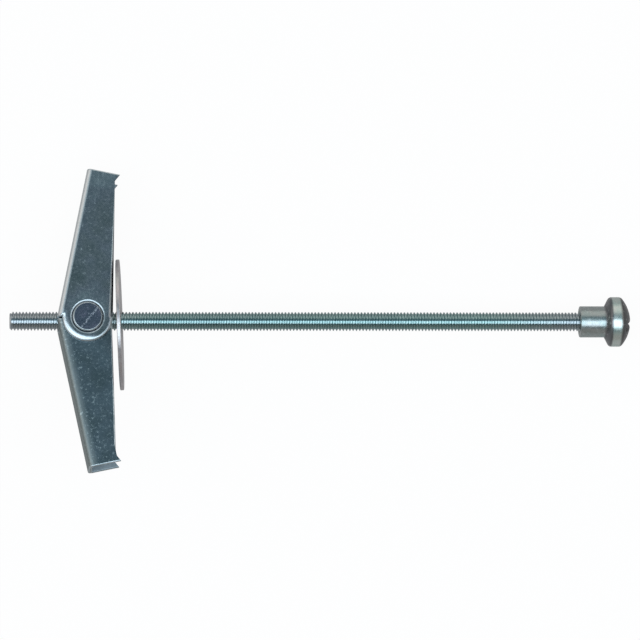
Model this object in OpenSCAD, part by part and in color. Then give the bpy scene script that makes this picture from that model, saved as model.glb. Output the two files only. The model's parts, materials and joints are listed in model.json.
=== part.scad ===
// Spring toggle bolt with a threaded rod, a penny washer and a mushroom sleeve nut.
// The part lies as it comes to rest, on the rim of the washer, the rim of the head
// and the tip of the outer wing.
// Each piece but the washer is drawn with the rod along X and the pivot along Z, and then laid down.

/* [Rod] */
// Major diameter of the thread
rod_d = 3.95; // [3:0.05:6]
// Pitch of the thread, which sets the depth of the end chamfers
thread_pitch = 0.7; // [0.5:0.05:1]
// Free length of the rod behind the pivot
rod_tail = 16.2; // [13:0.1:30]
// Length of the rod from the pivot to the face of the collar
rod_grip = 104.4; // [70:0.1:180]
// Length of the rod that is screwed into the sleeve nut
rod_bite = 4.4; // [3:0.1:5.5]

/* [Sleeve nut] */
// Diameter of the plain collar
collar_d = 6.6; // [6:0.1:8]
// Length of the plain collar
collar_l = 5.25; // [4:0.05:9]
// Diameter of the mushroom head
head_d = 10.5; // [9.5:0.1:14]
// Length of the conical flare under the head
flare_l = 1.5; // [1.2:0.05:2.5]
// Length of the straight rim of the head
rim_l = 1.5; // [0.6:0.05:2.5]
// Height of the dome above the rim
dome_h = 2.5; // [1.8:0.05:3.2]
// Rounding at the top edge of the rim
rim_top_r = 1.0; // [0.5:0.05:1.3]
// Rounding at the lower edge of the rim
rim_low_r = 0.8; // [0.4:0.05:1]
// Spare depth of the tapped hole past the end of the rod
nut_spare = 2.6; // [1:0.1:3]
// Width of the driver slot
slot_w = 1.5; // [0.8:0.05:2]
// Depth of the driver slot from the top of the dome
slot_depth = 1.3; // [0.8:0.05:1.6]
// Angle of the driver slot about the rod
slot_turn = 32; // [0:1:180]

/* [Washer] */
// Outer diameter of the washer
washer_d = 27.5; // [24:0.1:34]
// Diameter of the hole in the washer
washer_hole_d = 7.6; // [7:0.1:9]
// Thickness of the washer
washer_t = 0.8; // [0.5:0.05:1.6]
// Rounding of the punched edges of the washer
washer_edge_r = 0.2; // [0.05:0.05:0.24]
// Turn of the loose washer about the upright
washer_yaw = 2.3; // [0:0.1:4]
// Room between the open edges of the wings and the washer
washer_room = 0.45; // [0.4:0.05:3]
// How far the loose washer has slipped sideways on the rod, towards the inner wing
washer_slip = 0.7; // [0.5:0.05:1.2]

/* [Wings] */
// Thickness of the sheet
sheet_t = 0.8; // [0.6:0.05:1]
// Inner radius of the folds
fold_r = 0.3; // [0.2:0.05:0.6]
// Length of a wing from the pivot to the end of its spine
wing_l = 31.9; // [26:0.1:40]
// Room between the coils of the spring and the spines
spring_room = 0.62; // [0.4:0.01:1.5]
// Slope of the spine towards the tip
spine_slope = 11.6; // [9:0.1:12]
// Radius of the round ear of the outer wing
ear_r = 5.3; // [5:0.05:6]
// Rise of the open edge from the pivot to the tip
edge_rise = 0.7; // [0:0.05:1.2]
// Height of the claw above the open edge
claw_h = 1.0; // [0.6:0.05:1.6]
// Length of the sloping back of the claw
claw_l = 1.3; // [0.8:0.05:2.5]
// Gap between the two spines where they stop against each other
stop_gap = 0.2; // [0.1:0.05:0.6]

/* [Trunnion nut] */
// Diameter of the barrel
barrel_d = 8.6; // [7.6:0.1:8.8]
// Length of the barrel between its shoulders
barrel_l = 6.8; // [6.7:0.1:8]
// Diameter of the journals that carry the wings
journal_d = 6.3; // [5.4:0.1:6.8]
// How far each journal stands out of the outer wing
journal_proud = 0.35; // [0.2:0.05:0.8]
// Chamfer at the ends of the journals
journal_chamfer = 0.25; // [0.1:0.05:0.4]

/* [Spring] */
// Diameter of the spring wire
wire_d = 0.42; // [0.3:0.02:0.44]
// Length of the spring legs
leg_l = 11; // [7:0.1:16]
// Full turns of each coil
coil_turns = 2; // [1:1:2]

/* [Clearances] */
// Radial clearance of the journals in the ears
pivot_clear = 0.05; // [0.02:0.01:0.1]
// Radial clearance of the rod in the tapped holes
thread_clear = 0.05; // [0.02:0.01:0.1]
// Side clearance between the barrel and each wing
side_clear = 0.1; // [0.05:0.01:0.2]
// Clearance between the inner ear and the spine of the outer wing
ear_clear = 0.35; // [0.2:0.05:0.6]
// Room round the rod in the notches of the spines
notch_room = 0.35; // [0.2:0.05:0.6]
// Gap between the rod and the edge of the hole in the washer
seat_gap = 0.15; // [0.05:0.05:0.4]
// Clearance between the spring wire and the pieces round it
wire_clear = 0.1; // [0.05:0.01:0.14]

/* [Hidden] */
$fn = 64;
over = 2;
thread_depth = 0.6134 * thread_pitch;

// Widths of the nested wings, from the barrel outwards
inner_w = barrel_l + 2 * side_clear + 2 * sheet_t;
outer_w = inner_w + 2 * side_clear + 2 * sheet_t;
trunnion_l = outer_w + 2 * journal_proud;
fold_out_r = fold_r + sheet_t;

// Coils round the barrel, and the spines of the wings outside them
wire_r = wire_d / 2;
coil_r = barrel_d / 2 + wire_clear + wire_r;
spine_in = coil_r + wire_r + spring_room;
spine_off = (spine_in + sheet_t) / cos(spine_slope);
inner_ear_r = spine_in - ear_clear;

// Outline of a wing: end of the spine, tip of the claw and root of the claw
spine_end = [wing_l * tan(spine_slope) - spine_off, wing_l];
function edge_x(r, y) = r + edge_rise * y / wing_l;
function claw_tip(r) =
    let (k = (edge_x(r, wing_l) + claw_h - spine_end.x) / cos(spine_slope))
    spine_end + k * [cos(spine_slope), -sin(spine_slope)];
function claw_root(r) =
    let (y = claw_tip(r).y - claw_l)
    [edge_x(r, y), y];

// Sleeve nut along its own axis, from the face of the collar
head_r = head_d / 2;
rim_low = collar_l + flare_l;
rim_top = rim_low + rim_l;
nut_l = rim_top + dome_h;
top_in = head_r - rim_top_r;
low_in = head_r - rim_low_r;
dome_r = (top_in * top_in + dome_h * dome_h - rim_top_r * rim_top_r) / (2 * (dome_h - rim_top_r));
dome_c = nut_l - dome_r;
blend = [top_in, rim_top - dome_c] * dome_r / (dome_r - rim_top_r);

// How the part lies: pitch of the rod, then roll about it
washer_r = washer_d / 2;
open_edge = edge_x(max(ear_r, inner_ear_r), washer_r);
washer_at = open_edge + washer_r * sin(washer_yaw) + washer_t / 2 + washer_room;
hole_play = (washer_hole_d - rod_d) / 2 - seat_gap;
rod_h_at_washer = washer_r - sqrt(hole_play ^ 2 - washer_slip ^ 2);
head_reach = rod_grip + rim_top - washer_at;
pitch = asin((rod_h_at_washer - rim_top_r) / norm([head_reach, top_in])) - atan2(top_in, head_reach);
pivot_h = rod_h_at_washer + washer_at * sin(pitch);
tip = claw_tip(ear_r);
tip_drop = (pivot_h - tip.x * sin(pitch)) / cos(pitch);
roll = asin(tip_drop / norm([tip.y, outer_w / 2])) - atan2(outer_w / 2, tip.y);

// Middle of the part's box, which is put over the origin
tail_x = -rod_tail * cos(pitch) - (rod_d / 2 - thread_depth) * sin(pitch);
dome_x = (rod_grip + dome_c) * cos(pitch) + dome_r;
middle = [(tail_x + dome_x) / 2, (outer_w - inner_w) / 4 * sin(roll)];

// Spring: lean of the legs and height of the first turn
leg_lean = spine_slope - asin((spring_room - wire_clear) / leg_l);
coil_z = rod_d / 2 + wire_clear + wire_r;
coil_pitch = wire_d + 0.02;
bend_r = 2 * wire_d;
coil_steps = 20;
wire_sides = 8;

// Puts a piece that is drawn along the rod into its resting place
module laid() {
    translate([-middle.x, -middle.y, pivot_h])
        rotate([0, pitch, 0])
            rotate([-roll, 0, 0])
                children();
}

// Turns a solid that is drawn along Z so that it runs along the rod
module along_rod(x) {
    translate([x, 0, 0])
        rotate([0, 90, 0])
            children();
}

module threaded_rod() {
    length = rod_tail + rod_grip + rod_bite;
    end_r = rod_d / 2 - thread_depth;
    color("lightslategray")
        laid() along_rod(-rod_tail)
            rotate_extrude()
                polygon([
                    [0, 0], [end_r, 0], [rod_d / 2, thread_depth],
                    [rod_d / 2, length - thread_depth], [end_r, length], [0, length]
                ]);
}

// Half section of the sleeve nut: collar, flare, rounded rim and dome
module nut_section() {
    square([collar_d / 2, rim_low]);
    polygon([[0, collar_l], [collar_d / 2, collar_l], flare_touch(), [low_in, rim_low], [0, rim_low]]);
    translate([low_in, rim_low]) circle(rim_low_r);
    translate([0, rim_low]) square([head_r, rim_l]);
    translate([top_in, rim_top]) circle(rim_top_r);
    polygon([[0, rim_top], [top_in, rim_top], blend + [0, dome_c], [0, blend.y + dome_c]]);
    intersection() {
        translate([0, dome_c]) circle(dome_r);
        translate([0, dome_c + blend.y]) square([blend.x, dome_r]);
    }
}

// Point where the flare touches the lower rounding of the rim
function flare_touch() =
    let (from = [collar_d / 2, collar_l])
    let (way = [low_in, rim_low] - from)
    let (turn = atan2(way.y, way.x) - asin(rim_low_r / norm(way)))
    from + sqrt(norm(way) ^ 2 - rim_low_r ^ 2) * [cos(turn), sin(turn)];

module sleeve_nut() {
    bore_r = rod_d / 2 + thread_clear;
    color("silver")
        laid() along_rod(rod_grip)
            difference() {
                rotate_extrude() nut_section();
                translate([0, 0, -over]) cylinder(r = bore_r, h = over + rod_bite + nut_spare);
                cylinder(r1 = bore_r + thread_depth, r2 = bore_r, h = thread_depth);
                rotate([0, 0, slot_turn])
                    translate([-head_r - over, -slot_w / 2, nut_l - slot_depth])
                        cube([head_d + 2 * over, slot_w, slot_depth + over]);
            }
}

// The washer stands upright on its rim, with the rod at the bottom of its hole
module washer() {
    hole_r = washer_hole_d / 2;
    color("gainsboro")
        translate([washer_at * cos(pitch) - middle.x, -middle.y - washer_slip, washer_r])
            rotate([0, 0, washer_yaw])
                rotate([0, 90, 0])
                    rotate_extrude() {
                        translate([hole_r, washer_edge_r - washer_t / 2])
                            square([washer_r - hole_r, washer_t - 2 * washer_edge_r]);
                        translate([hole_r + washer_edge_r, -washer_t / 2])
                            square([washer_r - hole_r - 2 * washer_edge_r, washer_t]);
                        for (r = [hole_r + washer_edge_r, washer_r - washer_edge_r])
                            for (z = [washer_edge_r - washer_t / 2, washer_t / 2 - washer_edge_r])
                                translate([r, z]) circle(washer_edge_r);
                    }
}

module trunnion_nut() {
    end_r = journal_d / 2 - journal_chamfer;
    shoulder = barrel_l / 2;
    end_z = trunnion_l / 2;
    color("lightsteelblue")
        laid() difference() {
            rotate_extrude()
                polygon([
                    [0, -end_z], [end_r, -end_z], [journal_d / 2, journal_chamfer - end_z],
                    [journal_d / 2, -shoulder], [barrel_d / 2, -shoulder],
                    [barrel_d / 2, shoulder], [journal_d / 2, shoulder],
                    [journal_d / 2, end_z - journal_chamfer], [end_r, end_z], [0, end_z]
                ]);
            along_rod(-barrel_d) cylinder(r = rod_d / 2 + thread_clear, h = 2 * barrel_d);
        }
}

// Section of the folded sheet: a spine and two flanges with round folds
module channel_section(width, depth) {
    difference() {
        union() {
            translate([fold_out_r, -width / 2]) square([depth - fold_out_r, width]);
            translate([0, fold_out_r - width / 2]) square([depth, width - 2 * fold_out_r]);
            for (s = [-1, 1])
                translate([fold_out_r, s * (width / 2 - fold_out_r)]) circle(fold_out_r);
        }
        translate([fold_out_r, sheet_t - width / 2]) square([depth, width - 2 * sheet_t]);
        translate([sheet_t, fold_out_r - width / 2]) square([depth, width - 2 * fold_out_r]);
        for (s = [-1, 1])
            translate([fold_out_r, s * (width / 2 - fold_out_r)]) circle(fold_r);
    }
}

// Side view of a wing with its ear, open edge, claw and square-cut end
module wing_outline(r) {
    past_spine = over * [cos(spine_slope), -sin(spine_slope)];
    circle(r);
    polygon([
        [r, 0], claw_root(r), claw_tip(r), spine_end - past_spine,
        [-spine_off - over, stop_gap / 2], [0, stop_gap / 2]
    ]);
}

// One wing that points along +Y, with its open side towards the head
module wing(width, r) {
    depth = spine_off + r + edge_rise + claw_h + over;
    difference() {
        intersection() {
            translate([-spine_off, 0, 0])
                rotate([0, 0, -spine_slope])
                    rotate([90, 0, 0])
                        linear_extrude(height = 2 * (wing_l + spine_off), center = true)
                            channel_section(width, depth);
            linear_extrude(height = width + over, center = true) wing_outline(r);
        }
        cylinder(r = journal_d / 2 + pivot_clear, h = width + over, center = true);
        for (s = [0, 1])
            mirror([0, 0, s])
                translate([0, 0, width / 2 - journal_chamfer])
                    cylinder(
                        r1 = journal_d / 2 + pivot_clear,
                        r2 = journal_d / 2 + pivot_clear + journal_chamfer,
                        h = journal_chamfer
                    );
        along_rod(-spine_off - over) cylinder(r = rod_d / 2 + notch_room, h = spine_off + over);
    }
}

module outer_wing() {
    color("slategray") laid() wing(outer_w, ear_r);
}

module inner_wing() {
    color("slategray") laid() mirror([0, 1, 0]) wing(inner_w, inner_ear_r);
}

// Spring wire: each point of its path carries the direction that points away from the pivot
function away(side) = [-cos(leg_lean), side * sin(leg_lean), 0];
function leg_point(side, s, z) = [
    coil_r * away(side) + [s * sin(leg_lean), side * s * cos(leg_lean), z],
    away(side)
];
function coil_point(a, z) = [[coil_r * cos(a), coil_r * sin(a), z], [cos(a), sin(a), 0]];
coil_sweep = 360 * coil_turns + 2 * leg_lean;
coil_count = coil_steps * coil_turns;

// Half of the wire, from the bridge on the outer spine to the free leg on the inner spine
function half_wire(m) = [
    for (i = [0 : 4])
        let (a = i * 90 / 4)
        leg_point(1, leg_l - bend_r * (1 - cos(a)), m * (coil_z - bend_r * (1 - sin(a)))),
    for (i = [0 : coil_count])
        let (f = i / coil_count)
        coil_point(180 - leg_lean + f * coil_sweep, m * (coil_z + f * coil_turns * coil_pitch)),
    leg_point(-1, leg_l, m * (coil_z + coil_turns * coil_pitch))
];

function unit(v) = v / norm(v);

// Ring of points round the wire at path point i
function wire_ring(path, i) =
    let (last = len(path) - 1)
    let (along = unit(path[min(i + 1, last)][0] - path[max(i - 1, 0)][0]))
    let (out = unit(path[i][1] - along * (along * path[i][1])))
    let (side = cross(along, out))
    [for (k = [0 : wire_sides - 1])
        let (a = k * 360 / wire_sides)
        path[i][0] + wire_r * (cos(a) * out + sin(a) * side)];

module torsion_spring() {
    left = half_wire(-1);
    path = concat([for (i = [len(left) - 1 : -1 : 0]) left[i]], half_wire(1));
    n = len(path);
    points = [for (i = [0 : n - 1]) each wire_ring(path, i)];
    sides = [
        for (i = [0 : n - 2], k = [0 : wire_sides - 1])
            let (next = (k + 1) % wire_sides)
            let (a = i * wire_sides)
            let (b = a + wire_sides)
            [a + k, b + k, b + next, a + next]
    ];
    start = [for (k = [0 : wire_sides - 1]) k];
    end = [for (k = [wire_sides - 1 : -1 : 0]) (n - 1) * wire_sides + k];
    color("dimgray")
        laid() polyhedron(points = points, faces = concat(sides, [start, end]), convexity = 6);
}

threaded_rod();
sleeve_nut();
washer();
trunnion_nut();
torsion_spring();
outer_wing();
inner_wing();
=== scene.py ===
import json
import math

import bmesh
import bpy
import numpy as np
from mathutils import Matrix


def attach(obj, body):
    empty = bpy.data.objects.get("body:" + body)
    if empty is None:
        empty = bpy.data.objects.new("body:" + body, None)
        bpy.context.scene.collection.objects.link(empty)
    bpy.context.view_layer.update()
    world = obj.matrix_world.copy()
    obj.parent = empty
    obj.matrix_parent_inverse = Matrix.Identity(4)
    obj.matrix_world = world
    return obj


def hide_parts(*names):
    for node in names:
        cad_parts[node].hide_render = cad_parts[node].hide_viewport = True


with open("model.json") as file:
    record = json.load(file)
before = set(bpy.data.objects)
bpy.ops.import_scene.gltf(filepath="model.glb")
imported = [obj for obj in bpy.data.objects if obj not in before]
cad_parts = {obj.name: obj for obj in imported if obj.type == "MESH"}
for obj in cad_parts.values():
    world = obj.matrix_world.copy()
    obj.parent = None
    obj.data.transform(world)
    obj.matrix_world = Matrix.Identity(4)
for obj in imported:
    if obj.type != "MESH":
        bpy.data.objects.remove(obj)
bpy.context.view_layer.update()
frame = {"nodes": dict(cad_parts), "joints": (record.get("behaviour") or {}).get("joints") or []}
mm = 0.001

# The rod's own frame: x along the rod to the head, y along the outer wing, z along the pivot.
joints = {joint["name"]: joint for joint in frame["joints"]}
pivot = np.array(joints["wing_fold"]["pos_m"])
rodWay = np.array(joints["toggle_travel"]["axis"])
pinWay = -np.array(joints["wing_fold"]["axis"])
rodBasis = np.stack([rodWay, np.cross(pinWay, rodWay), pinWay])


# From mm in the rod's frame to the scene, and back.
def laidDown(points):
    return pivot + (points * mm) @ rodBasis


def inRodFrame(values):
    return (values.reshape(-1, 3) - pivot) @ rodBasis.T / mm


# An sRGB hex colour as linear light, by the sRGB curve.
def linear(hexColour):
    channels = [int(hexColour[i:i + 2], 16) / 255 for i in (1, 3, 5)]
    curve = [c / 12.92 if c <= 0.04045 else ((c + 0.055) / 1.055) ** 2.4 for c in channels]
    return (*curve, 1.0)


# Adds a node, sets its fields and sockets, links it, and fills a colour ramp from (place, hex) stops.
# A Mix node's sockets go by number: 0 is its share, 2 and 3 are its numbers, 6 and 7 its colours.
def addNode(tree, kind, settings=None, links=None, stops=None, **fields):
    node = tree.nodes.new(kind)
    for field, value in fields.items():
        setattr(node, field, value)
    for socket, value in (settings or {}).items():
        node.inputs[socket].default_value = value
    for socket, source in (links or {}).items():
        tree.links.new(source, node.inputs[socket])
    for number, (place, colour) in enumerate(stops or []):
        ramp = node.color_ramp.elements
        element = ramp[number] if number < len(ramp) else ramp.new(place)
        element.position = place
        element.color = linear(colour)
    return node


# Tones along the rod, between two places in mm from the pivot, multiply the colour; on the sleeve nut they
# also paint shade and a reflection.
def tonedAlong(tree, place, colour, zones):
    first, last = [float(pivot @ rodWay) + reach * mm for reach in zones["alongMm"]]
    along = addNode(
        tree, "ShaderNodeVectorMath", {1: tuple(rodWay)}, {0: place}, operation="DOT_PRODUCT",
    ).outputs["Value"]
    share = addNode(
        tree, "ShaderNodeMapRange", {"From Min": first, "From Max": last}, {"Value": along},
    ).outputs["Result"]
    tone = addNode(tree, "ShaderNodeValToRGB", links={"Fac": share}, stops=zones["tones"])
    return addNode(
        tree, "ShaderNodeMix", {0: 1.0}, {6: colour, 7: tone.outputs[0]},
        data_type="RGBA", blend_type="MULTIPLY",
    ).outputs[2]


# The margin of an ear, which the press drew down towards its edge on one side of the pin: it drops with the
# square of the share of the way across, and a pale colour on it is a painted highlight.
def drawnEarPaintedHighlight(tree, place, colour, normal, margin):
    centre = pivot + margin["heightMm"] * mm * pinWay
    reach = addNode(
        tree, "ShaderNodeVectorMath", {1: tuple(centre)}, {0: place}, operation="DISTANCE",
    ).outputs["Value"]
    near, far = margin["radiusMm"]
    across = addNode(
        tree, "ShaderNodeMapRange", {"From Min": near * mm, "From Max": far * mm}, {"Value": reach},
    ).outputs["Result"]
    way = np.array(margin["way"]) @ rodBasis[:2]
    side = addNode(
        tree, "ShaderNodeVectorMath", {1: tuple(way)}, {0: place}, operation="DOT_PRODUCT",
    ).outputs["Value"]
    near, far = [float(pivot @ way) + step * mm for step in margin["alongMm"]]
    drawn = addNode(
        tree, "ShaderNodeMapRange", {"From Min": near, "From Max": far}, {"Value": side},
    ).outputs["Result"]
    inRing = addNode(
        tree, "ShaderNodeMath", {1: margin["edgeMm"] * mm}, {0: reach}, operation="LESS_THAN",
    ).outputs[0]
    # The ring on the drawn side takes the margin colour, a painted highlight.
    ring = addNode(tree, "ShaderNodeMath", links={0: across, 1: inRing}, operation="MULTIPLY").outputs[0]
    paintedHighlight = addNode(tree, "ShaderNodeMath", links={0: ring, 1: drawn}, operation="MULTIPLY").outputs[0]
    colour = addNode(
        tree, "ShaderNodeMix", {7: linear(margin["colour"])}, {0: paintedHighlight, 6: colour}, data_type="RGBA",
    ).outputs[2]
    square = addNode(tree, "ShaderNodeMath", links={0: across, 1: across}, operation="MULTIPLY").outputs[0]
    dip = addNode(tree, "ShaderNodeMath", links={0: square, 1: drawn}, operation="MULTIPLY").outputs[0]
    normal = addNode(
        tree, "ShaderNodeBump", {"Strength": 1.0, "Distance": margin["dropMm"] * mm},
        {"Height": dip, "Normal": normal}, invert=True,
    ).outputs["Normal"]
    return colour, normal


# A fold with a painted highlight: a bright band with a ragged border, which is also rougher. The piece
# carries fromSpine, the distance from its fold in mm, and the pale flecks thin out away from it, so that
# near the fold they add to the painted highlight.
def foldPaintedHighlight(tree, fleck, colour, pale, rough, fold):
    spine = addNode(tree, "ShaderNodeAttribute", attribute_name="fromSpine").outputs["Fac"]
    near, far = fold["flecksMm"]
    nearFold = addNode(
        tree, "ShaderNodeMapRange",
        {"From Min": near, "From Max": far, "To Min": 1.0, "To Max": fold["farShare"]}, {"Value": spine},
    ).outputs["Result"]
    pale = addNode(tree, "ShaderNodeMath", links={0: pale, 1: nearFold}, operation="MULTIPLY").outputs[0]
    ragged = addNode(
        tree, "ShaderNodeMath", {1: fold["raggedMm"]}, {0: fleck, 2: spine}, operation="MULTIPLY_ADD",
    ).outputs[0]
    sharp, gone = fold["paintedHighlightMm"]
    paintedHighlight = addNode(
        tree, "ShaderNodeMapRange",
        {"From Min": sharp, "From Max": gone, "To Min": 1.0, "To Max": 0.0}, {"Value": ragged},
    ).outputs["Result"]
    # The band takes the fold colour: a painted highlight.
    colour = addNode(
        tree, "ShaderNodeMix", {7: linear(fold["colour"])}, {0: paintedHighlight, 6: colour}, data_type="RGBA",
    ).outputs[2]
    rough = addNode(
        tree, "ShaderNodeMix", {3: fold["roughness"]}, {0: paintedHighlight, 2: rough}, data_type="FLOAT",
    ).outputs[0]
    return colour, pale, rough


# A scratch painted as its glint: a straight pale line across the piece, broken by the grain.
def scratchPaintedGlint(tree, place, grain, pale, scratch):
    across = addNode(
        tree, "ShaderNodeVectorMath", {1: scratch["across"]}, {0: place}, operation="DOT_PRODUCT",
    ).outputs["Value"]
    inLine = addNode(
        tree, "ShaderNodeMath", {1: scratch["atMm"] * mm, 2: scratch["halfMm"] * mm}, {0: across},
        operation="COMPARE",
    ).outputs[0]
    low, high = scratch["grainBand"]
    broken = addNode(
        tree, "ShaderNodeMapRange", {"From Min": low, "From Max": high}, {"Value": grain},
    ).outputs["Result"]
    line = addNode(tree, "ShaderNodeMath", links={0: inLine, 1: broken}, operation="MULTIPLY").outputs[0]
    return addNode(tree, "ShaderNodeMath", links={0: pale, 1: line}, operation="MAXIMUM").outputs[0]


# What all plated steel shares: the detail of each noise, and the bands of it that give specks and dull
# spots.
plating = {
    "details": {"cloudMm": 2.0, "fleckMm": 3.0, "grainMm": 3.0}, "noiseRoughness": 0.6,
    "speckBand": (0.34, 0.66), "dullBand": (0.3, 0.7),
}


# Plated steel: broad tints of the passivation, pale flecks, a grain of crystals and a soft relief. Real
# crystals are far finer than a pixel, so the grain is drawn coarser than real to show.
def platedSteel(name, settings):
    material = bpy.data.materials.new(name)
    material.use_nodes = True
    tree = material.node_tree
    tree.nodes.clear()
    place = addNode(tree, "ShaderNodeTexCoord").outputs["Object"]
    cloud, fleck, grain = [
        addNode(
            tree, "ShaderNodeTexNoise",
            {"Scale": 1 / (settings[size] * mm), "Detail": detail, "Roughness": plating["noiseRoughness"]},
            {"Vector": place},
        ).outputs["Fac"]
        for size, detail in plating["details"].items()
    ]
    tint = addNode(tree, "ShaderNodeValToRGB", links={"Fac": cloud}, stops=settings["tints"])
    low, high = plating["speckBand"]
    speck = addNode(
        tree, "ShaderNodeValToRGB", links={"Fac": grain},
        stops=[(low, settings["speck"]), (high, "#ffffff")],
    )
    colour = addNode(
        tree, "ShaderNodeMix", {0: settings["speckShare"]}, {6: tint.outputs[0], 7: speck.outputs[0]},
        data_type="RGBA", blend_type="MULTIPLY",
    ).outputs[2]
    low, high = settings["fleckBand"]
    pale = addNode(
        tree, "ShaderNodeMapRange",
        {"From Min": low, "From Max": high, "To Max": settings["fleckShare"]}, {"Value": fleck},
    ).outputs["Result"]
    low, high = plating["dullBand"]
    smooth, dull = settings["roughness"]
    rough = addNode(
        tree, "ShaderNodeMapRange", {"From Min": low, "From Max": high, "To Min": smooth, "To Max": dull},
        {"Value": fleck},
    ).outputs["Result"]
    grainRelief = addNode(
        tree, "ShaderNodeBump", {"Strength": settings["bump"], "Distance": settings["grainHighMm"] * mm},
        {"Height": grain},
    ).outputs["Normal"]
    normal = addNode(
        tree, "ShaderNodeBump", {"Strength": settings["bump"], "Distance": settings["waveHighMm"] * mm},
        {"Height": cloud, "Normal": grainRelief},
    ).outputs["Normal"]
    if "zones" in settings:
        colour = tonedAlong(tree, place, colour, settings["zones"])
    if "margin" in settings:
        colour, normal = drawnEarPaintedHighlight(tree, place, colour, normal, settings["margin"])
    if "fold" in settings:
        colour, pale, rough = foldPaintedHighlight(tree, fleck, colour, pale, rough, settings["fold"])
    if "scratch" in settings:
        pale = scratchPaintedGlint(tree, place, grain, pale, settings["scratch"])
    colour = addNode(
        tree, "ShaderNodeMix", {7: linear(settings["fleck"])}, {0: pale, 6: colour}, data_type="RGBA",
    ).outputs[2]
    shader = addNode(
        tree, "ShaderNodeBsdfPrincipled", {"Metallic": 1.0},
        {"Base Color": colour, "Roughness": rough, "Normal": normal},
    )
    addNode(tree, "ShaderNodeOutputMaterial", links={"Surface": shader.outputs["BSDF"]})
    return material


# Bright zinc on pressed sheet: a dark blue-grey mirror with fine pale flecks, with a painted highlight
# along the fold.
pressedSheet = {
    "cloudMm": 9.0, "fleckMm": 0.55, "grainMm": 0.35,
    "tints": [(0.36, "#747f80"), (0.46, "#848c8f"), (0.56, "#888f96"), (0.68, "#98a2a6")],
    "speck": "#bcc4c6", "speckShare": 0.25,
    "fleckBand": (0.62, 0.72), "fleck": "#c3cfd0", "fleckShare": 0.55,
    "roughness": (0.18, 0.32), "bump": 0.25, "grainHighMm": 0.004, "waveHighMm": 0.25,
}
# The outer wing's fold: a narrow near-white band, a painted highlight.
crispFoldHighlight = {
    "colour": "#e6e9ea", "paintedHighlightMm": (0.95, 1.25), "raggedMm": 0.2,
    "flecksMm": (1.5, 5.0), "farShare": 0.5, "roughness": 0.36,
}
# The ear's margin is a ring round the pin at the ear's outer face. It fades in along way, which is given in
# the rod's x and y, and points to the rod's free end and the inner wing, where the highlight falls. Its
# colour is a painted highlight.
earMargin = {
    "heightMm": 5.2, "radiusMm": (3.95, 4.7), "edgeMm": 5.4, "dropMm": 0.14,
    "way": (-0.64, -0.77), "alongMm": (1.8, 4.2), "colour": "#d3dde1",
}
outerSheet = platedSteel("bright_zinc_on_crisply_folded_sheet", {
    **pressedSheet, "fold": crispFoldHighlight, "margin": earMargin,
})
# The other wing: its tints are darker, as painted shade, and its fold fades out in a mottled band of
# painted highlight.
softFoldHighlight = {
    "colour": "#8f9897", "paintedHighlightMm": (1.0, 3.1), "raggedMm": 2.0,
    "flecksMm": (3.0, 6.0), "farShare": 0.5, "roughness": 0.52,
}
innerSheet = platedSteel("bright_zinc_with_painted_shade_on_inner_wing", {
    **pressedSheet, "fold": softFoldHighlight,
    "fleckBand": (0.58, 0.68), "fleckShare": 0.6, "roughness": (0.17, 0.3),
    "tints": [(0.36, "#68767a"), (0.5, "#76838a"), (0.64, "#7d8b92")],
})
# Inside of the wings: the same plate, dull and even, because nothing rubbed it.
insideZinc = platedSteel("dull_zinc_inside_pressed_sheet", {
    **pressedSheet, "fleckShare": 0.3, "roughness": (0.45, 0.6),
    "tints": [(0.36, "#8d989d"), (0.64, "#a5b1b8")],
})
# Sheared and rubbed edges: the same plate, brighter, partly as wear and partly as a painted highlight, so
# that edges draw thin light lines.
rubbedEdgeWithHighlight = {
    "cloudMm": 3.0, "fleckMm": 0.8, "grainMm": 0.2,
    "tints": [(0.35, "#b4c1c4"), (0.65, "#d3dcdf")],
    "speck": "#c9d3d8", "speckShare": 0.5,
    "fleckBand": (0.5, 0.7), "fleck": "#e9eef0", "fleckShare": 0.5,
    "roughness": (0.26, 0.42), "bump": 0.15, "grainHighMm": 0.006, "waveHighMm": 0.02,
}
edgeZinc = platedSteel("rubbed_zinc_with_painted_highlight_on_edges", rubbedEdgeWithHighlight)
# The ears' rolled edges: the same, with the ear margin's painted highlight.
earEdgeHighlight = platedSteel("rubbed_zinc_with_painted_highlight_on_ears", {**rubbedEdgeWithHighlight, "margin": earMargin})
# Zinc on rolled thread: flanks that mirror each other, grey at the ends and teal in the middle, and crests
# that flash in one long line.
threadZinc = platedSteel("bluish_zinc_on_rolled_thread", {
    "cloudMm": 22.0, "fleckMm": 1.0, "grainMm": 0.15,
    "tints": [(0.36, "#bac3c8"), (0.64, "#c2cbce")],
    "speck": "#c6cdcd", "speckShare": 0.4,
    "fleckBand": (0.5, 0.75), "fleck": "#cfdedc", "fleckShare": 0.4,
    "roughness": (0.09, 0.18), "bump": 0.1, "grainHighMm": 0.006, "waveHighMm": 0.02,
    "zones": {"alongMm": (-16.2, 108.8), "tones": [
        (0.0, "#fffbfc"), (0.1, "#fbfafa"), (0.25, "#e3faf5"), (0.8, "#e3faf5"), (0.95, "#fafafa"),
    ]},
})
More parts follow.
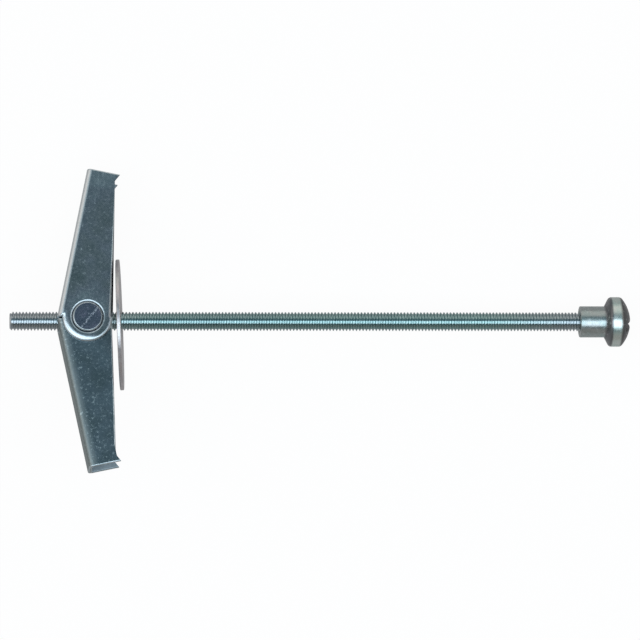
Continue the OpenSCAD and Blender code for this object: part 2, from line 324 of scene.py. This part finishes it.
# Zinc on turned steel: pale warm grey with a green-blue cast and small bright pits, for the sleeve nut. Its
# flare and its dome are toned down as painted shade, its collar stays light, and its rim is lighter still
# as a painted reflection.
turnedZinc = platedSteel("warm_grey_zinc_on_turned_steel", {
    "cloudMm": 2.6, "fleckMm": 0.7, "grainMm": 0.2,
    "tints": [(0.34, "#d9e4e1"), (0.5, "#e5e7e4"), (0.66, "#efedeb")],
    "speck": "#b0b8b6", "speckShare": 0.4,
    "fleckBand": (0.6, 0.7), "fleck": "#d6e0de", "fleckShare": 0.6,
    "roughness": (0.22, 0.32), "bump": 0.28, "grainHighMm": 0.008, "waveHighMm": 0.12,
    # Along the nut: the collar, painted shade on the flare, a painted reflection on the rim, painted shade
    # on the dome.
    "zones": {"alongMm": (104.4, 115.2), "tones": [
        (0.0, "#cdd3d4"), (0.46, "#cdd3d4"), (0.5, "#8d8d92"), (0.6, "#8d8d92"), (0.63, "#f6fefb"),
        (0.76, "#f6fefb"), (0.8, "#807e80"), (1.0, "#6e696d"),
    ]},
})
# Zinc on turned journals: smooth blue-violet discs with a few pale specks as painted glints, and a scratch
# across them painted pale as its glint.
pinZinc = platedSteel("blue_zinc_on_turned_journals", {
    "cloudMm": 2.5, "fleckMm": 0.5, "grainMm": 0.25,
    "tints": [(0.34, "#727a88"), (0.5, "#7f8492"), (0.66, "#8d8c9d")],
    "speck": "#aab4ba", "speckShare": 0.6,
    "fleckBand": (0.66, 0.74), "fleck": "#e2dfe6", "fleckShare": 0.7,
    "roughness": (0.16, 0.3), "bump": 0.2, "grainHighMm": 0.008, "waveHighMm": 0.05,
    "scratch": {"across": (0.77, -0.64, 0.0), "atMm": -38.05, "halfMm": 0.2, "grainBand": (0.46, 0.56)},
})
# Zinc on punched strip: flat pale grey with a mauve cast and a satin sheen.
washerZinc = platedSteel("satin_zinc_on_punched_strip", {
    "cloudMm": 6.0, "fleckMm": 1.2, "grainMm": 0.25,
    "tints": [(0.34, "#cbc5c6"), (0.5, "#d6d0d1"), (0.66, "#dcdcd9")],
    "speck": "#c4c4c4", "speckShare": 0.5,
    "fleckBand": (0.55, 0.75), "fleck": "#d9dedb", "fleckShare": 0.4,
    "roughness": (0.28, 0.44), "bump": 0.18, "grainHighMm": 0.012, "waveHighMm": 0.04,
})
# Drawn spring wire: dark grey with a dull sheen.
springWire = platedSteel("oiled_drawn_spring_wire", {
    "cloudMm": 2.0, "fleckMm": 0.6, "grainMm": 0.12,
    "tints": [(0.35, "#5d6166"), (0.65, "#777c82")],
    "speck": "#a9acae", "speckShare": 0.5,
    "fleckBand": (0.55, 0.75), "fleck": "#8d9298", "fleckShare": 0.4,
    "roughness": (0.28, 0.45), "bump": 0.12, "grainHighMm": 0.008, "waveHighMm": 0.01,
})
print("materials made")


def newPiece(name, mesh, body, replaced, materials):
    piece = bpy.data.objects.new(name, mesh)
    bpy.context.scene.collection.objects.link(piece)
    for material in materials:
        mesh.materials.append(material)
    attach(piece, body)
    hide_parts(*replaced)
    return piece


# A grid as a closed mesh: seams and poles are merged, and every face points outwards.
closing = {"mergeMm": 0.002, "sharpDeg": 50}


def closedMesh(name, points, quads):
    mesh = bpy.data.meshes.new(name)
    mesh.from_pydata(laidDown(points).tolist(), [], quads.tolist())
    work = bmesh.new()
    work.from_mesh(mesh)
    bmesh.ops.remove_doubles(work, verts=work.verts, dist=closing["mergeMm"] * mm)
    bmesh.ops.dissolve_degenerate(work, edges=work.edges, dist=closing["mergeMm"] * mm)
    bmesh.ops.recalc_face_normals(work, faces=work.faces)
    work.to_mesh(mesh)
    work.free()
    mesh.shade_smooth()
    mesh.set_sharp_from_angle(angle=math.radians(closing["sharpDeg"]))
    return mesh


# Rod with its M4 thread, shallower than the standard 0.43 mm and with wider crests, as plating leaves it.
# Row i and column j lie at x = tail + pitch * (turn + share + j / around), so each row is one helix, and it
# ends where the row with the same share of the next turn begins.
rod = {
    "crestR": 1.975, "pitch": 0.7, "depth": 0.36, "tail": -16.2, "headEnd": 108.8, "around": 36,
    "crestShare": 0.1, "flankShare": 0.275, "spareTurns": 2, "endR": 1.54, "closedPast": 0.35,
}
rootShare = rod["crestShare"] + rod["flankShare"]
halfTurn = [0.0, rod["crestShare"], rod["crestShare"] + rod["flankShare"] / 2, rootShare]
shares = np.array([*halfTurn, 0.5, *[1 - share for share in halfTurn[:0:-1]]])  # down, root and up again
turnCount = int((rod["headEnd"] - rod["tail"]) / rod["pitch"]) + 2 * rod["spareTurns"] + 1
rowPlace = (np.arange(turnCount)[:, None] + shares[None, :]).ravel() - rod["spareTurns"]
rowShare = np.tile(np.minimum(shares, 1 - shares), turnCount)
rowDip = np.clip((rowShare - rod["crestShare"]) / rod["flankShare"], 0, 1)
column = np.arange(rod["around"])
along = rod["tail"] + rod["pitch"] * (rowPlace[:, None] + column[None, :] / rod["around"])
radius = np.repeat((rod["crestR"] - rod["depth"] * rowDip)[:, None], rod["around"], axis=1)
# Past either end the surface turns in to the axis, which makes the chamfer and the flat end.
inset = np.minimum(along - rod["tail"], rod["headEnd"] - along)
radius = np.minimum(radius, rod["endR"] + np.clip(inset, 0, None))
radius = np.where(inset < -rod["closedPast"], 0.0, radius)
along = np.clip(along, rod["tail"], rod["headEnd"])
angle = column / rod["around"] * 2 * math.pi
threadPoints = np.stack([
    along, radius * np.cos(angle)[None, :], radius * np.sin(angle)[None, :],
], axis=-1)
rowCount = threadPoints.shape[0]
rowStep = len(shares)
index = np.arange(rowCount * rod["around"]).reshape(rowCount, rod["around"])
seam = np.concatenate([index[rowStep:, :1], np.repeat(index[-1:, :1], rowStep, axis=0)])
wide = np.concatenate([index, seam], axis=1)
threadQuads = np.stack([wide[:-1, :-1], wide[:-1, 1:], wide[1:, 1:], wide[1:, :-1]], axis=-1).reshape(-1, 4)
rodMesh = closedMesh("threaded_rod_m4", threadPoints.reshape(-1, 3), threadQuads)
newPiece("threaded_rod_m4", rodMesh, "rod", ["threaded_rod"], [threadZinc])
print("rod made")

# What the pieces with rounded corners share. Of the edges past toX, those shorter than clawMm are claws.
softening = {"doublesMm": 0.001, "flatDeg": 0.3, "clawMm": 2.0}


# An outer corner that a rounding reaches, by its radius and height at the pin.
def isCorner(edge, cornerDeg, rounding):
    corner = math.radians(rounding.get("cornerDeg", cornerDeg))
    if not (edge.is_manifold and edge.is_convex and edge.calc_face_angle(0) > corner):
        return False
    ends = inRodFrame(np.array([vertex.co for vertex in edge.verts]))
    radius = np.hypot(ends[:, 0], ends[:, 1])
    low, high = rounding.get("radiusMm", (0.0, math.inf))
    reached = (radius > low) & (radius < high) & (np.abs(ends[:, 2]) > rounding.get("fromHeight", 0.0))
    isLong = edge.calc_length() > softening["clawMm"] * mm
    notClaw = (ends[:, 0] < rounding.get("toX", math.inf)) | isLong
    return bool(np.all(reached & notClaw & (ends[:, 1] < rounding.get("toY", math.inf))))


# A CAD piece with its outer corners rounded, which takes the second material. Punched-through corners that
# the press rolled over are rounded first and wider, and the claws stay sharp.
def softened(node, settings):
    mesh = bpy.data.meshes.new(settings["name"])
    work = bmesh.new()
    work.from_mesh(frame["nodes"][node].data)
    bmesh.ops.remove_doubles(work, verts=work.verts, dist=softening["doublesMm"] * mm)
    flat = math.radians(softening["flatDeg"])
    bmesh.ops.dissolve_limit(work, angle_limit=flat, verts=work.verts, edges=work.edges)
    bmesh.ops.remove_doubles(work, verts=work.verts, dist=settings["mergeMm"] * mm)
    for rounding in settings["rounds"]:
        corners = [edge for edge in work.edges if isCorner(edge, settings["cornerDeg"], rounding)]
        bmesh.ops.bevel(
            work, geom=corners, offset=rounding["edgeMm"] * mm, offset_type="OFFSET",
            segments=rounding["steps"], profile=0.5, affect="EDGES", clamp_overlap=False, material=1,
        )
    work.to_mesh(mesh)
    work.free()
    mesh.shade_smooth()
    mesh.set_sharp_from_angle(angle=math.radians(settings["shadeDeg"]))
    piece = newPiece(
        settings["name"], mesh, settings["body"], [node], settings["materials"],
    )
    piece.modifiers.new("flats", "WEIGHTED_NORMAL").keep_sharp = True
    return piece


# Each face's centre in mm and normal, both in the rod's frame, and the number of its material.
def faceArrays(piece):
    faces = piece.data.polygons
    centres, normals = np.empty(len(faces) * 3), np.empty(len(faces) * 3)
    numbers = np.empty(len(faces), np.int32)
    faces.foreach_get("center", centres)
    faces.foreach_get("normal", normals)
    faces.foreach_get("material_index", numbers)
    return inRodFrame(centres), normals.reshape(-1, 3) @ rodBasis.T, numbers


# Chamfered rims round the pin take a painted highlight: faces between two radii in mm that slope to the pin
# take the second material, the brighter edge zinc.
rimSlope = (0.3, 0.95)


def paintRimHighlight(piece, rimMm):
    place, way, numbers = faceArrays(piece)
    radius, slope = np.hypot(place[:, 0], place[:, 1]), np.abs(way[:, 2])
    inRim = (radius > rimMm[0]) & (radius < rimMm[1])
    numbers[inRim & (slope > rimSlope[0]) & (slope < rimSlope[1])] = 1
    piece.data.polygons.foreach_set("material_index", numbers)


# Faces that look into the channel of a wing take the third material: on a flange, those that face the rod,
# and on the spine, those that face along the rod to the head.
facing = {"flange": 0.5, "spine": 0.5, "spineLean": 0.4}


def dullInside(piece):
    place, way, numbers = faceArrays(piece)
    flange = place[:, 2] * way[:, 2] < -facing["flange"] * np.abs(place[:, 2])
    square = (way[:, 0] > facing["spine"]) & (np.abs(way[:, 1]) < facing["spineLean"])
    numbers[flange | (square & (place[:, 0] < 0))] = 2
    piece.data.polygons.foreach_set("material_index", numbers)


# fromSpine is the distance in mm from the outer face of the spine, which slopes away from the pivot.
def markFold(piece, side, settings):
    points = np.empty(len(piece.data.vertices) * 3)
    piece.data.vertices.foreach_get("co", points)
    rodPoints = inRodFrame(points)
    slope = math.radians(settings["slopeDeg"])
    fromSpine = (
        (rodPoints[:, 0] + settings["spineMm"]) * math.cos(slope) - side * rodPoints[:, 1] * math.sin(slope)
    )
    piece.data.attributes.new("fromSpine", "FLOAT", "POINT").data.foreach_set("value", fromSpine)


wingSpine = {"slopeDeg": 11.6, "spineMm": 6.37}
outerWing = {
    "name": "outer_wing_sheet", "body": "outer_wing", "slot": "outer_wing_zinc", "mergeMm": 0.06,
    "cornerDeg": 50, "shadeDeg": 40, "rimMm": (3.2, 3.65), "materials": [outerSheet, earEdgeHighlight, insideZinc],
    "rounds": [
        {"edgeMm": 0.68, "steps": 6, "radiusMm": (5.0, 6.0), "fromHeight": 5.1, "toY": 0.3, "toX": 5.6},
        {"edgeMm": 0.2, "steps": 3, "radiusMm": (3.3, 3.6), "fromHeight": 5.1, "cornerDeg": 30},
        {"edgeMm": 0.28, "steps": 3, "toX": 6.05},
    ],
}
outerPiece = softened("outer_wing", outerWing)
markFold(outerPiece, 1, wingSpine)
paintRimHighlight(outerPiece, outerWing["rimMm"])
dullInside(outerPiece)
innerWing = {
    "name": "inner_wing_sheet", "body": "inner_wing", "slot": "inner_wing_zinc", "mergeMm": 0.06,
    "cornerDeg": 50, "shadeDeg": 40, "materials": [innerSheet, edgeZinc, insideZinc],
    "rounds": [{"edgeMm": 0.3, "steps": 3, "toX": 5.85}],
}
innerPiece = softened("inner_wing", innerWing)
markFold(innerPiece, -1, wingSpine)
dullInside(innerPiece)
sleeveNut = {
    "name": "sleeve_nut_turned", "body": "sleeve_nut", "slot": "nut_zinc", "mergeMm": 0.06,
    "cornerDeg": 35, "shadeDeg": 35, "materials": [turnedZinc, turnedZinc],
    "rounds": [{"edgeMm": 0.15, "steps": 3}],
}
softened("sleeve_nut", sleeveNut)
trunnion = {
    "name": "trunnion_nut_turned", "body": "toggle", "slot": "trunnion_zinc", "mergeMm": 0.03,
    "cornerDeg": 35, "shadeDeg": 35, "rimMm": (2.85, 3.2), "materials": [pinZinc, edgeZinc],
    "rounds": [{"edgeMm": 0.06, "steps": 3}],
}
paintRimHighlight(softened("trunnion_nut", trunnion), trunnion["rimMm"])
washerNode = frame["nodes"]["washer"]
washerNode.data.materials.clear()
washerNode.data.materials.append(washerZinc)
print("plated pieces made")


# Spring of one wire: a bridge and two legs on the outer spine, two coils, and two legs on the inner spine.
# The first turn of each coil turns with the outer legs, and the second with the inner leg.
spring = {
    "wireR": 0.21, "coilR": 4.61, "legL": 11.0, "leanDeg": 8.89, "firstZ": 2.285, "pitch": 0.44, "turns": 2,
    "bendR": 0.84, "bendGap": 0.4, "sides": 12, "coilSteps": 48, "bendSteps": 7, "legSteps": 6,
}
lean = math.radians(spring["leanDeg"])


# A leg leaves its coil straight on: it lies at coilR * away + s * way, at height z.
def legPath(side, s, z):
    away = np.array([-math.cos(lean), side * math.sin(lean), 0.0])
    way = np.array([math.sin(lean), side * math.cos(lean), 0.0])
    points = spring["coilR"] * away + s[:, None] * way
    points[:, 2] = z
    return points, np.repeat(away[None, :], len(s), axis=0)


# A coil is a helix, coilR * (cos turn, sin turn), that rises by pitch a turn. f is how far along it is.
def coilPath(low, high, side):
    f = np.linspace(low, high, spring["coilSteps"])
    turn = math.pi - lean + f * (2 * math.pi * spring["turns"] + 2 * lean)
    away = np.stack([np.cos(turn), np.sin(turn), 0 * turn], axis=-1)
    points = spring["coilR"] * away
    points[:, 2] = side * (spring["firstZ"] + f * spring["turns"] * spring["pitch"])
    return points, away


def joined(*paths):
    return tuple(np.concatenate(parts) for parts in zip(*paths))


# Tube: ring i is p + wireR * (cos a * out + sin a * side), with out made square to the path. One more ring
# at each end lies on the path itself, and closes the tube.
def tube(points, away):
    along = np.gradient(points, axis=0)
    along /= np.linalg.norm(along, axis=1)[:, None]
    out = away - along * np.sum(along * away, axis=1)[:, None]
    out /= np.linalg.norm(out, axis=1)[:, None]
    side = np.cross(along, out)
    a = np.arange(spring["sides"]) / spring["sides"] * 2 * math.pi
    ring = np.cos(a)[None, :, None] * out[:, None, :] + np.sin(a)[None, :, None] * side[:, None, :]
    path = np.repeat(points[:, None, :], spring["sides"], axis=1)
    grid = np.concatenate([path[:1], path + spring["wireR"] * ring, path[-1:]])
    count = np.arange(grid.shape[0] * spring["sides"]).reshape(-1, spring["sides"])
    turned = np.roll(count, -1, axis=1)
    quads = np.stack([count[:-1], turned[:-1], turned[1:], count[1:]], axis=-1).reshape(-1, 4)
    return grid.reshape(-1, 3), quads


def springPiece(name, tubes, body):
    allPoints, allQuads = zip(*tubes)
    starts = np.cumsum([0] + [len(points) for points in allPoints[:-1]])
    quads = np.concatenate([part + start for part, start in zip(allQuads, starts)])
    mesh = closedMesh(name, np.concatenate(allPoints), quads)
    newPiece(name, mesh, body, ["torsion_spring"], [springWire])


# From the bridge round its quarter bend, along the outer leg and through the first half of a coil.
def outerHalf(side):
    bend = np.radians(np.linspace(0, 90, spring["bendSteps"]))
    corner, away = legPath(1, spring["legL"] - spring["bendR"] * (1 - np.cos(bend)), 0.0)
    corner[:, 2] = side * (spring["firstZ"] - spring["bendR"] * (1 - np.sin(bend)))
    bendEnd = spring["legL"] - spring["bendR"]
    reach = np.linspace(bendEnd - spring["bendGap"], spring["bendGap"], spring["legSteps"])
    leg = legPath(1, reach, side * spring["firstZ"])
    return joined((corner, away), leg, coilPath(0.0, 0.5, side))


# The second half of a coil and the inner leg.
def innerHalf(side):
    lastZ = side * (spring["firstZ"] + spring["turns"] * spring["pitch"])
    reach = np.linspace(spring["bendGap"], spring["legL"], spring["legSteps"])
    return joined(coilPath(0.5, 1.0, side), legPath(-1, reach, lastZ))


bridge = joined(tuple(part[::-1] for part in outerHalf(-1)), outerHalf(1))
springPiece("spring_bridge_and_outer_turns", [tube(*bridge)], "outer_wing")
springPiece("spring_inner_turns_and_legs", [tube(*innerHalf(-1)), tube(*innerHalf(1))], "inner_wing")
print("spring made")


# Floor: plain white paper. The camera sees it almost white, with a faint soft shadow, and the metal mirrors
# it as a grey.
floorSettings = {
    "halfSize": 1.5, "colour": "#f4f4f4", "glow": "#ffffff",
    "seenShare": 0.95, "mirroredShare": 0.9, "mirroredGlow": 0.38,
}
size = floorSettings["halfSize"]
floorMesh = bpy.data.meshes.new("floor")
floorMesh.from_pydata(
    [(-size, -size, 0), (size, -size, 0), (size, size, 0), (-size, size, 0)], [], [(0, 1, 2, 3)],
)
floor = bpy.data.objects.new("floor", floorMesh)
bpy.context.scene.collection.objects.link(floor)
paper = bpy.data.materials.new("white_paper_floor")
paper.use_nodes = True
paperTree = paper.node_tree
paperTree.nodes.clear()
ray = addNode(paperTree, "ShaderNodeLightPath")
mirrored = addNode(
    paperTree, "ShaderNodeMath", operation="MAXIMUM",
    links={0: ray.outputs["Is Glossy Ray"], 1: ray.outputs["Is Transmission Ray"]},
)
mirroredGlow = addNode(
    paperTree, "ShaderNodeMath", {1: floorSettings["mirroredShare"]}, {0: mirrored.outputs["Value"]},
    operation="MULTIPLY",
)
seenGlow = addNode(
    paperTree, "ShaderNodeMath", {1: floorSettings["seenShare"]}, {0: ray.outputs["Is Camera Ray"]},
    operation="MULTIPLY",
)
glowing = addNode(
    paperTree, "ShaderNodeMath", operation="MAXIMUM",
    links={0: seenGlow.outputs["Value"], 1: mirroredGlow.outputs["Value"]},
)
glowLevel = addNode(
    paperTree, "ShaderNodeMath", {1: 1 - floorSettings["mirroredGlow"], 2: floorSettings["mirroredGlow"]},
    {0: ray.outputs["Is Camera Ray"]}, operation="MULTIPLY_ADD",
)
matt = addNode(paperTree, "ShaderNodeBsdfDiffuse", {"Color": linear(floorSettings["colour"])})
glow = addNode(
    paperTree, "ShaderNodeEmission", {"Color": linear(floorSettings["glow"])},
    {"Strength": glowLevel.outputs["Value"]},
)
both = addNode(
    paperTree, "ShaderNodeMixShader",
    links={0: glowing.outputs["Value"], 1: matt.outputs["BSDF"], 2: glow.outputs["Emission"]},
)
addNode(paperTree, "ShaderNodeOutputMaterial", links={"Surface": both.outputs["Shader"]})
floorMesh.materials.append(paper)

# Studio room: pale round the horizon, darker above and on the inner wing's side. The sky goes by the height
# of a direction, and the side by how far it points across the rod.
room = {
    "sky": [
        (0.0, "#dedcd9"), (0.5, "#e2e1df"), (0.67, "#cfd2d2"), (0.75, "#72858b"), (0.82, "#778b92"),
        (0.92, "#839ba7"), (1.0, "#a9c8d8"),
    ],
    "sideFromTo": (-0.8, 0.1), "sideShare": 0.45,
}
world = bpy.data.worlds.new("studio")
bpy.context.scene.world = world
world.use_nodes = True
worldTree = world.node_tree
worldTree.nodes.clear()
direction = addNode(worldTree, "ShaderNodeTexCoord")
axes = addNode(worldTree, "ShaderNodeSeparateXYZ", links={"Vector": direction.outputs["Generated"]})
sky = addNode(worldTree, "ShaderNodeValToRGB", links={"Fac": axes.outputs["Z"]}, stops=room["sky"])
darkSide, litSide = room["sideFromTo"]
lit = addNode(
    worldTree, "ShaderNodeMapRange",
    {"From Min": darkSide, "From Max": litSide, "To Min": room["sideShare"], "To Max": 1.0},
    {"Value": axes.outputs["Y"]},
)
air = addNode(
    worldTree, "ShaderNodeBackground",
    links={"Color": sky.outputs["Color"], "Strength": lit.outputs["Result"]},
)
addNode(worldTree, "ShaderNodeOutputWorld", links={"Surface": air.outputs["Background"]})

# One long panel overhead, turned to the object.
overheadPanel = {"size": (6.9, 1.4), "watts": 57.0, "colour": "#ebf5ff", "place": (0.0, -0.28, 2.0)}
panelLight = bpy.data.lights.new("overhead_panel", "AREA")
panelLight.shape = "RECTANGLE"
panelLight.size, panelLight.size_y = overheadPanel["size"]
panelLight.energy = overheadPanel["watts"]
panelLight.color = linear(overheadPanel["colour"])[:3]
panel = bpy.data.objects.new("overhead_panel", panelLight)
bpy.context.scene.collection.objects.link(panel)
panel.location = overheadPanel["place"]
panelX, panelY, panelZ = overheadPanel["place"]
panel.rotation_euler = (math.atan2(math.hypot(panelX, panelY), panelZ), 0, math.atan2(panelX, -panelY))
print("studio made")

# Camera: far off and almost straight down, as in the photograph, a little over the outer wing's side, with
# the rod falling a little to the right.
cameraSettings = {
    "lens": 320.0, "sensor": 36.0,
    "place": (-0.021124, 0.045256, 1.208961), "turnDeg": (-2.154, -0.99, 0.252),
}
cameraData = bpy.data.cameras.new("camera")
cameraData.lens = cameraSettings["lens"]
cameraData.sensor_width = cameraSettings["sensor"]
camera = bpy.data.objects.new("camera", cameraData)
camera.location = cameraSettings["place"]
camera.rotation_euler = [math.radians(turn) for turn in cameraSettings["turnDeg"]]
bpy.context.scene.collection.objects.link(camera)
bpy.context.scene.camera = camera
bpy.context.scene.view_settings.view_transform = "Standard"
print("camera placed")
